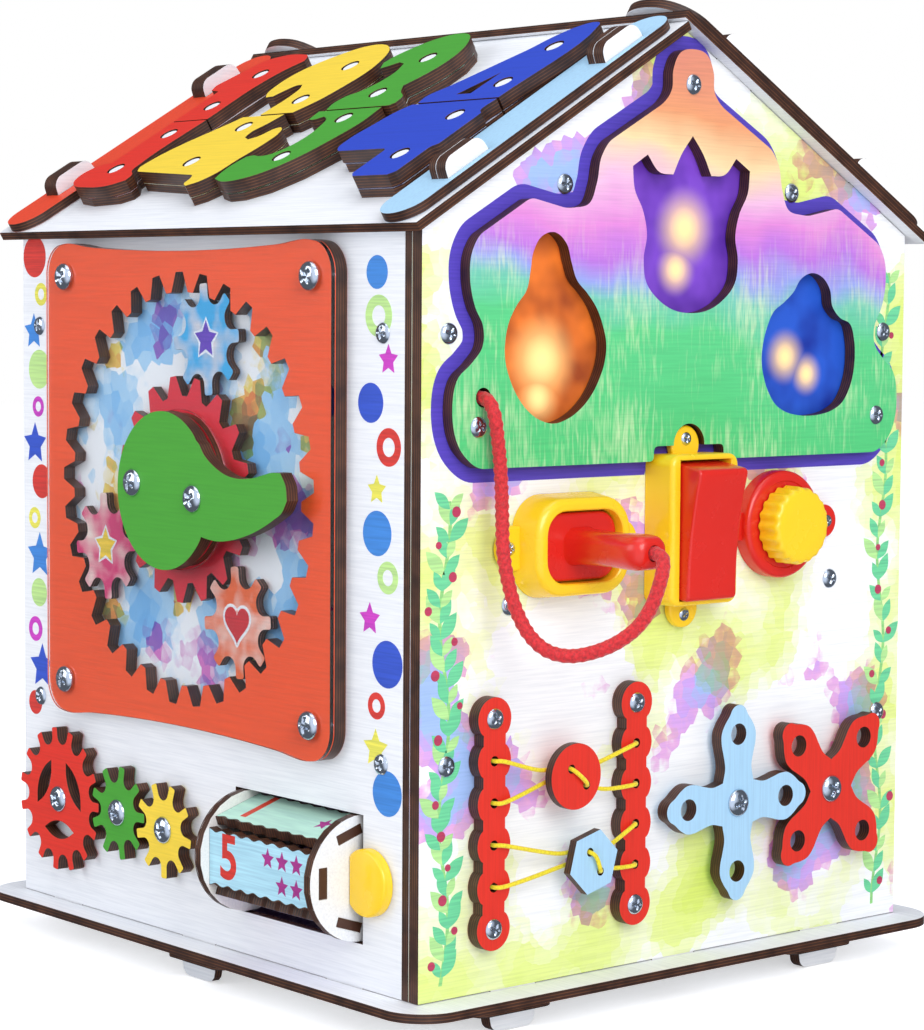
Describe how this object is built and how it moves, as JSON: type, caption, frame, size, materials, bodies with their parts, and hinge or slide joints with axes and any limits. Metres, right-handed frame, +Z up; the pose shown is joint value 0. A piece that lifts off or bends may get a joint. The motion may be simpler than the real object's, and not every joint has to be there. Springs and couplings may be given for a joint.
{
  "type": "busy board house",
  "caption": "Plywood play house with gear games, a number drum, a lit window panel, a plug, a rocker switch, a dial, lacing and spinners on its walls, and lift-off numbers on its roof.",
  "frame": {"origin": "middle of the underside of the box round the house, on the surface that its feet stand on", "axes": "+Z up, ridge along X, gear wall facing -Y, gable with the switch facing +X"},
  "size_m": [0.3841, 0.3296, 0.4343],
  "materials": {
    "white_ply": "birch plywood printed white, burnt brown cut edges",
    "red_ply": "birch plywood printed red, satin",
    "orange_ply": "birch plywood printed orange-red, satin",
    "sky_ply": "birch plywood printed light blue, satin",
    "green_ply": "birch plywood printed green, satin",
    "yellow_ply": "birch plywood printed yellow, satin",
    "blue_ply": "birch plywood printed blue, satin",
    "pink_ply": "birch plywood printed pink, satin",
    "lamp_ply": "birch plywood printed with a colour gradient, satin",
    "raw_ply": "bare birch plywood, burnt edges",
    "clear_plastic": "clear acrylic sheet",
    "opal_plastic": "translucent green acrylic sheet",
    "white_plastic": "thin white plastic",
    "yellow_plastic": "moulded ABS, yellow, glossy",
    "red_plastic": "moulded ABS, red, glossy",
    "grey_plastic": "moulded ABS, dark grey",
    "board_green": "circuit board",
    "steel": "nickel-plated steel",
    "rope_fibre": "braided polyester rope, red",
    "elastic_fibre": "braided round elastic, yellow"
  },
  "bodies": {
    "house": {"base_plate": "white_ply", "wall_gear": "white_ply", "wall_far": "white_ply", "gable_near_inner": "white_ply", "gable_near_facade": "white_ply", "gable_far": "white_ply", "roof_near": "white_ply", "roof_far": "white_ply", "batten_blue": "sky_ply", "batten_orange": "orange_ply", "ring_panel": "orange_ply", "ring_cover": "clear_plastic", "sun_axle": "steel", "gear_red_bolt": "steel", "gear_green_bolt": "steel", "gear_yellow_bolt": "steel", "drum_axle": "raw_ply", "drum_cap_right": "yellow_plastic", "drum_cap_left": "yellow_plastic", "light_panel": "lamp_ply", "light_sheet": "opal_plastic", "led_board": "board_green", "battery_box": "grey_plastic", "socket": "yellow_plastic", "rope": "rope_fibre", "switch_housing": "yellow_plastic", "dial_base": "red_plastic", "lacing_strip_left": "red_ply", "lacing_strip_right": "red_ply", "elastic_upper": "elastic_fibre", "elastic_lower": "elastic_fibre", "spinner_blue_bolt": "steel", "spinner_red_bolt": "steel"},
    "sun": {"sun_gear": "red_ply", "knob_handle": "green_ply"},
    "carrier": {"planet_carrier": "white_plastic"},
    "planet_blue": {"planet_gear_blue": "sky_ply"},
    "planet_pink": {"planet_gear_pink": "pink_ply"},
    "planet_orange": {"planet_gear_orange": "orange_ply"},
    "red_gear": {"gear_red": "red_ply"},
    "green_gear": {"gear_green": "green_ply"},
    "yellow_gear": {"gear_yellow": "yellow_ply"},
    "drum": {"number_drum": "raw_ply"},
    "plug": {"plug": "red_plastic"},
    "rocker": {"rocker": "red_plastic"},
    "dial": {"dial_knob": "yellow_plastic"},
    "round_button": {"button_round": "red_ply"},
    "hexagon_button": {"button_hexagon": "sky_ply"},
    "blue_spinner": {"spinner_blue": "sky_ply"},
    "red_spinner": {"spinner_red": "red_ply"},
    "digit_1_upper": {"digit_1_upper": "red_ply"},
    "digit_1_lower": {"digit_1_lower": "red_ply"},
    "digit_2_upper": {"digit_2_upper": "yellow_ply"},
    "digit_2_lower": {"digit_2_lower": "yellow_ply"},
    "digit_3_upper": {"digit_3_upper": "green_ply"},
    "digit_3_lower": {"digit_3_lower": "green_ply"},
    "digit_4_upper": {"digit_4_upper": "blue_ply"},
    "digit_4_lower": {"digit_4_lower": "blue_ply"}
  },
  "joints": [
    {"name": "sun_spin", "type": "hinge", "parent": "house", "child": "sun", "pos_m": [-0.01289, -0.14018, 0.2198], "axis": [0, -1, 0], "continuous": true},
    {"name": "planet_orbit", "type": "hinge", "parent": "house", "child": "carrier", "pos_m": [-0.01289, -0.14018, 0.2198], "axis": [0, -1, 0], "continuous": true},
    {"name": "planet_blue_spin", "type": "hinge", "parent": "carrier", "child": "planet_blue", "pos_m": [0.00421, -0.14018, 0.28639], "axis": [0, -1, 0], "continuous": true},
    {"name": "planet_pink_spin", "type": "hinge", "parent": "carrier", "child": "planet_pink", "pos_m": [-0.0751, -0.14018, 0.19053], "axis": [0, -1, 0], "continuous": true},
    {"name": "planet_orange_spin", "type": "hinge", "parent": "carrier", "child": "planet_orange", "pos_m": [0.02752, -0.14018, 0.16418], "axis": [0, -1, 0], "continuous": true},
    {"name": "red_gear_spin", "type": "hinge", "parent": "house", "child": "red_gear", "pos_m": [-0.11559, -0.14018, 0.0676], "axis": [0, -1, 0], "continuous": true},
    {"name": "green_gear_spin", "type": "hinge", "parent": "house", "child": "green_gear", "pos_m": [-0.06579, -0.14018, 0.0681], "axis": [0, -1, 0], "continuous": true},
    {"name": "yellow_gear_spin", "type": "hinge", "parent": "house", "child": "yellow_gear", "pos_m": [-0.02854, -0.14018, 0.06539], "axis": [0, -1, 0], "continuous": true},
    {"name": "drum_spin", "type": "hinge", "parent": "house", "child": "drum", "pos_m": [0.06281, -0.13818, 0.06355], "axis": [1, 0, 0], "continuous": true},
    {"name": "dial_turn", "type": "hinge", "parent": "house", "child": "dial", "pos_m": [0.14411, 0.06382, 0.2053], "axis": [1, 0, 0], "continuous": true},
    {"name": "blue_spinner_spin", "type": "hinge", "parent": "house", "child": "blue_spinner", "pos_m": [0.14411, 0.03402, 0.0836], "axis": [1, 0, 0], "continuous": true},
    {"name": "red_spinner_spin", "type": "hinge", "parent": "house", "child": "red_spinner", "pos_m": [0.14411, 0.09442, 0.0836], "axis": [1, 0, 0], "continuous": true},
    {"name": "rocker_tilt", "type": "hinge", "parent": "house", "child": "rocker", "pos_m": [0.15311, 0.00482, 0.2063], "axis": [0, 1, 0], "range_deg": [-14, 0]},
    {"name": "plug_pull", "type": "slide", "parent": "house", "child": "plug", "axis": [1, 0, 0], "range_m": [0, 0.025], "deforming": ["rope"]},
    {"name": "round_button_slide", "type": "slide", "parent": "house", "child": "round_button", "axis": [0, 1, 0], "range_m": [-0.008, 0.008], "stiffness_N_per_m": 15, "deforming": ["elastic_upper"]},
    {"name": "hexagon_button_slide", "type": "slide", "parent": "house", "child": "hexagon_button", "axis": [0, 1, 0], "range_m": [-0.008, 0.008], "stiffness_N_per_m": 15, "deforming": ["elastic_lower"]},
    {"name": "digit_1_upper_lift", "type": "slide", "parent": "house", "child": "digit_1_upper", "axis": [0, -0.5099, 0.8603], "range_m": [0, 0.014]},
    {"name": "digit_1_lower_lift", "type": "slide", "parent": "house", "child": "digit_1_lower", "axis": [0, -0.5099, 0.8603], "range_m": [0, 0.014]},
    {"name": "digit_2_upper_lift", "type": "slide", "parent": "house", "child": "digit_2_upper", "axis": [0, -0.5099, 0.8603], "range_m": [0, 0.014]},
    {"name": "digit_2_lower_lift", "type": "slide", "parent": "house", "child": "digit_2_lower", "axis": [0, -0.5099, 0.8603], "range_m": [0, 0.014]},
    {"name": "digit_3_upper_lift", "type": "slide", "parent": "house", "child": "digit_3_upper", "axis": [0, -0.5099, 0.8603], "range_m": [0, 0.014]},
    {"name": "digit_3_lower_lift", "type": "slide", "parent": "house", "child": "digit_3_lower", "axis": [0, -0.5099, 0.8603], "range_m": [0, 0.014]},
    {"name": "digit_4_upper_lift", "type": "slide", "parent": "house", "child": "digit_4_upper", "axis": [0, -0.5099, 0.8603], "range_m": [0, 0.014]},
    {"name": "digit_4_lower_lift", "type": "slide", "parent": "house", "child": "digit_4_lower", "axis": [0, -0.5099, 0.8603], "range_m": [0, 0.014]}
  ],
  "couplings": [
    {"joint": "planet_orbit", "follows": "sun_spin", "ratio": 0.34},
    {"joint": "planet_blue_spin", "follows": "sun_spin", "ratio": -1.4025},
    {"joint": "planet_pink_spin", "follows": "sun_spin", "ratio": -1.4025},
    {"joint": "planet_orange_spin", "follows": "sun_spin", "ratio": -1.4025},
    {"joint": "green_gear_spin", "follows": "red_gear_spin", "ratio": -1.6667},
    {"joint": "yellow_gear_spin", "follows": "red_gear_spin", "ratio": 1.6667},
    {"joint": "red_spinner_spin", "follows": "blue_spinner_spin", "ratio": -1}
  ]
}
